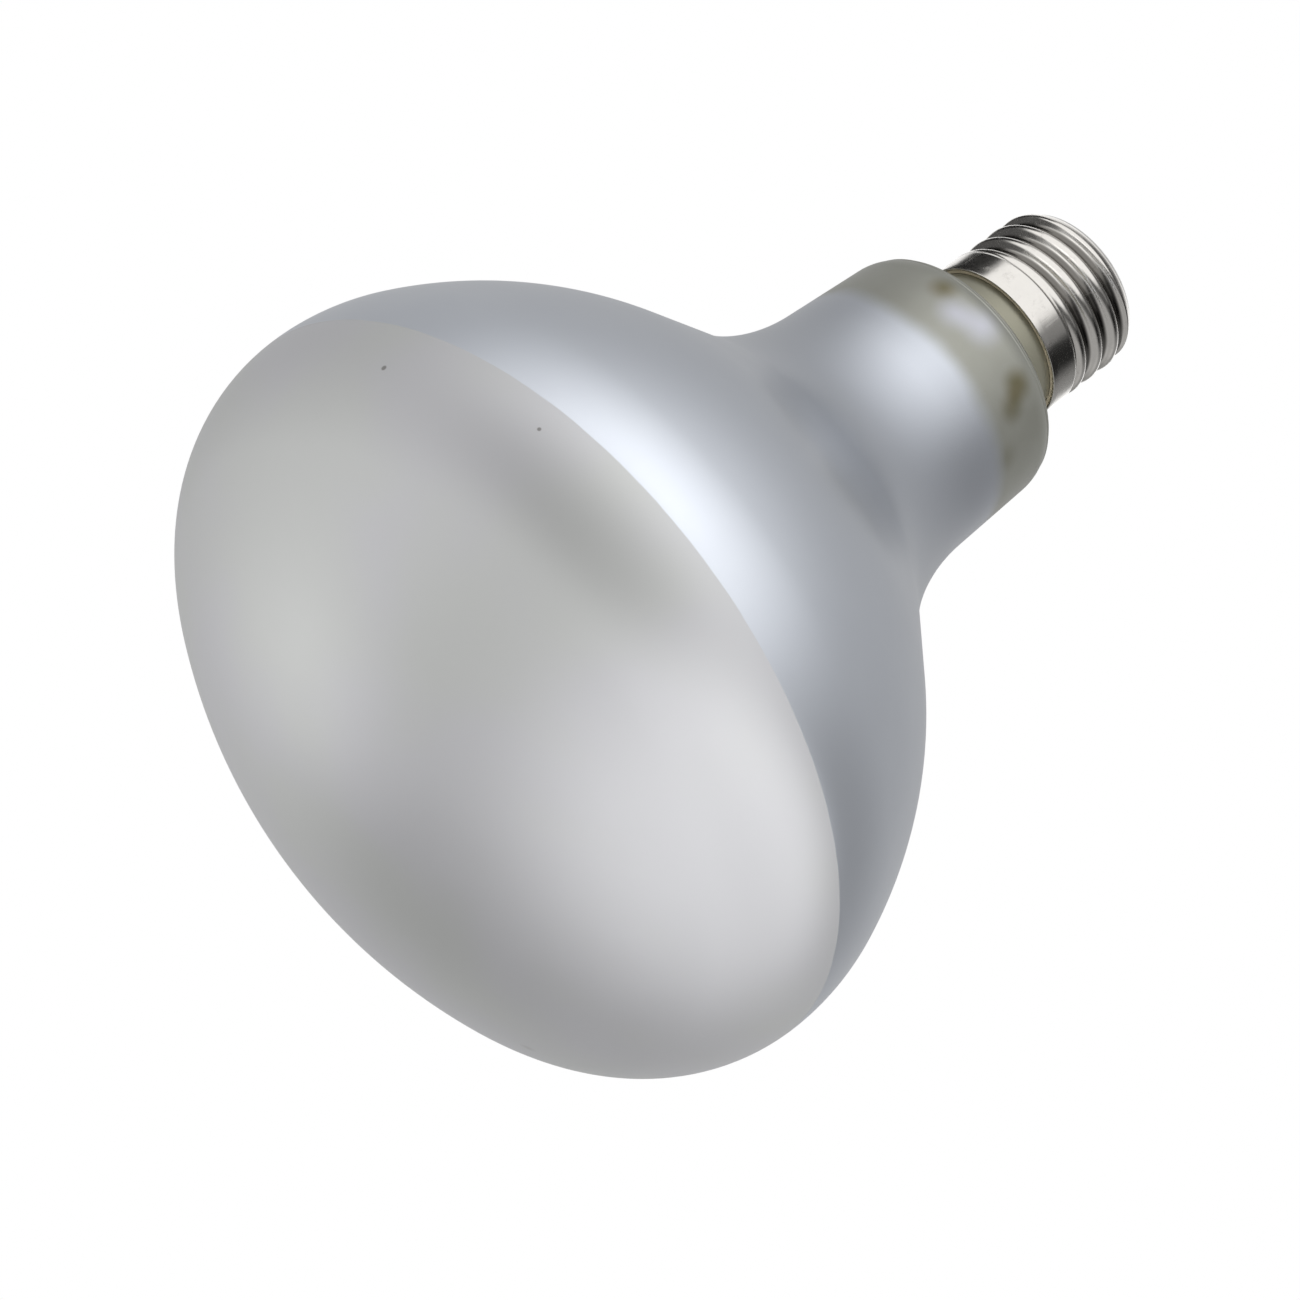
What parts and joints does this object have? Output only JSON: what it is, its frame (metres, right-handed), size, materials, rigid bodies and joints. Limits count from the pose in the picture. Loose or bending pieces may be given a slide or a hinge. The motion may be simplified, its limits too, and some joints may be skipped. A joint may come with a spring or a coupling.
{
  "type": "mercury vapour lamp",
  "caption": "Reflector lamp: sealed blown bulb with a frosted domed face and a silvered back, on a 26 mm Edison screw cap.",
  "frame": {"origin": "the middle of the domed face, the lowest point of the lamp as it hangs from its cap", "axes": "+Z along the lamp's axis from the face towards the cap, front towards -Y; the centre contact faces +Z"},
  "size_m": [0.125, 0.125, 0.161],
  "materials": {
    "bulb": "blown glass, frosted inside on the face and silvered inside on the back",
    "screw_shell": "bright nickel plate on rolled sheet metal",
    "basing_cement": "baked basing cement",
    "insulator": "moulded black glass",
    "contact_plate": "pressed brass",
    "lead_wire": "drawn nickel wire",
    "solder": "dull grey solder"
  },
  "bodies": {
    "root": {"bulb": "bulb", "screw_shell": "screw_shell", "basing_cement": "basing_cement", "insulator": "insulator", "contact_plate": "contact_plate", "centre_lead": "lead_wire", "side_lead": "lead_wire", "centre_solder": "solder", "side_solder": "solder"}
  },
  "joints": []
}
